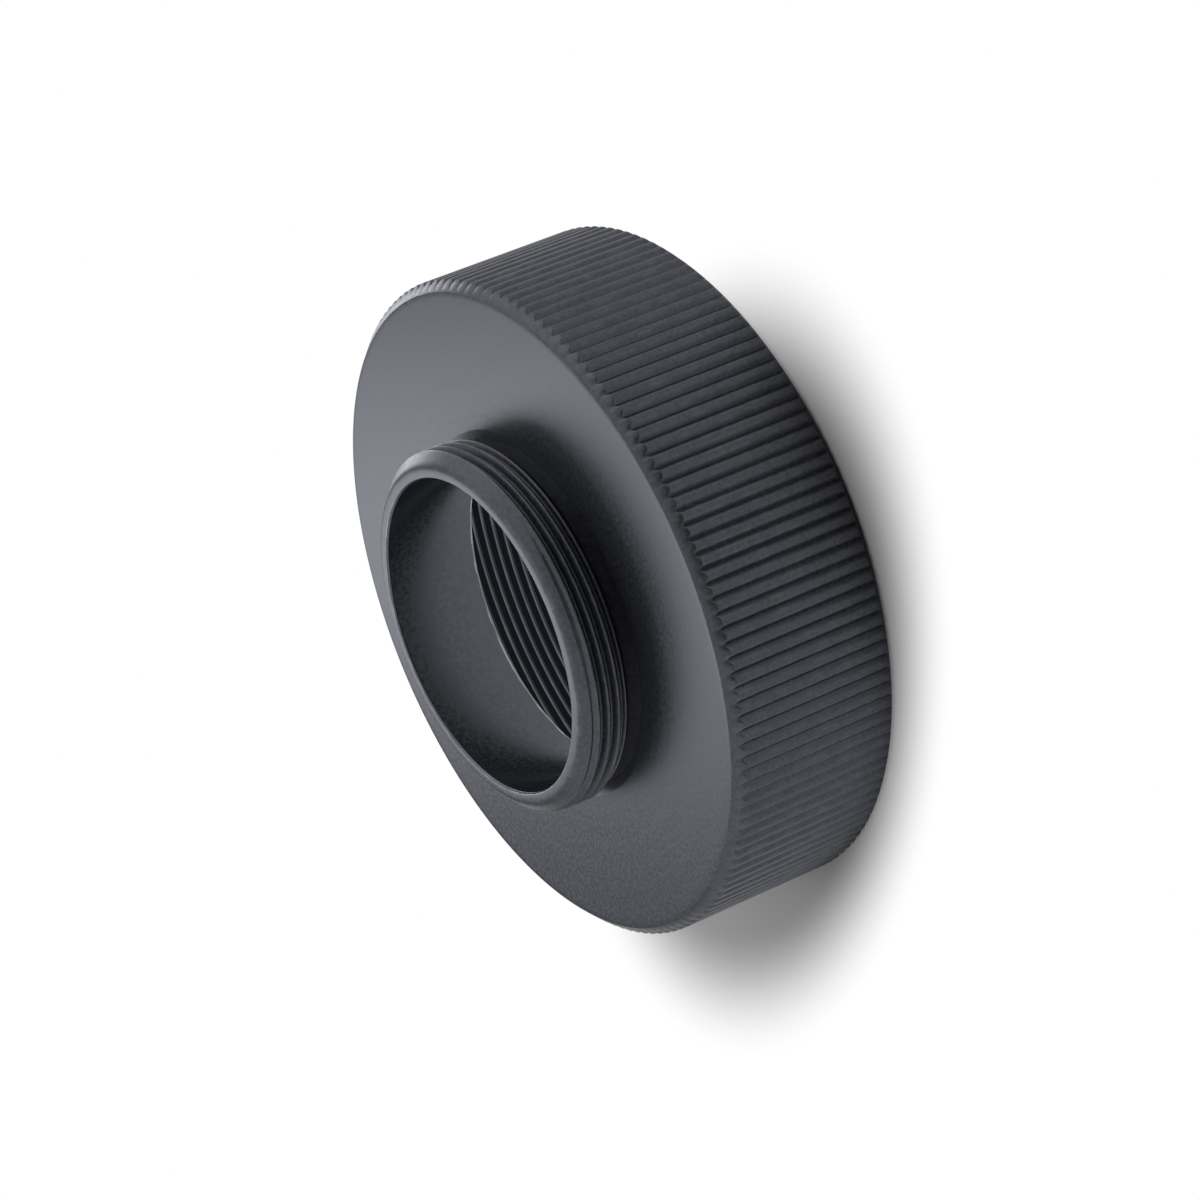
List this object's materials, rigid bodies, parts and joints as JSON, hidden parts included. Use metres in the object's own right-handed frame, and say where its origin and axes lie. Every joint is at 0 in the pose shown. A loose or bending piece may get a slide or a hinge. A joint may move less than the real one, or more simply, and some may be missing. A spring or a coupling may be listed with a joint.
{
  "type": "t-thread adapter",
  "caption": "Short knurled ring that joins a male T-thread to a camera body: female thread in the rear, threaded nose with a clear bore in front.",
  "frame": {"origin": "centre of the rear face, the open end of the T-thread socket", "axes": "+Z along the light path, from the rear face to the nose"},
  "size_m": [0.046, 0.046, 0.017],
  "materials": {
    "black_anodised": "satin black anodised, as turned, with a straight knurl"
  },
  "bodies": {
    "root": {"adapter_body": "black_anodised"}
  },
  "joints": []
}
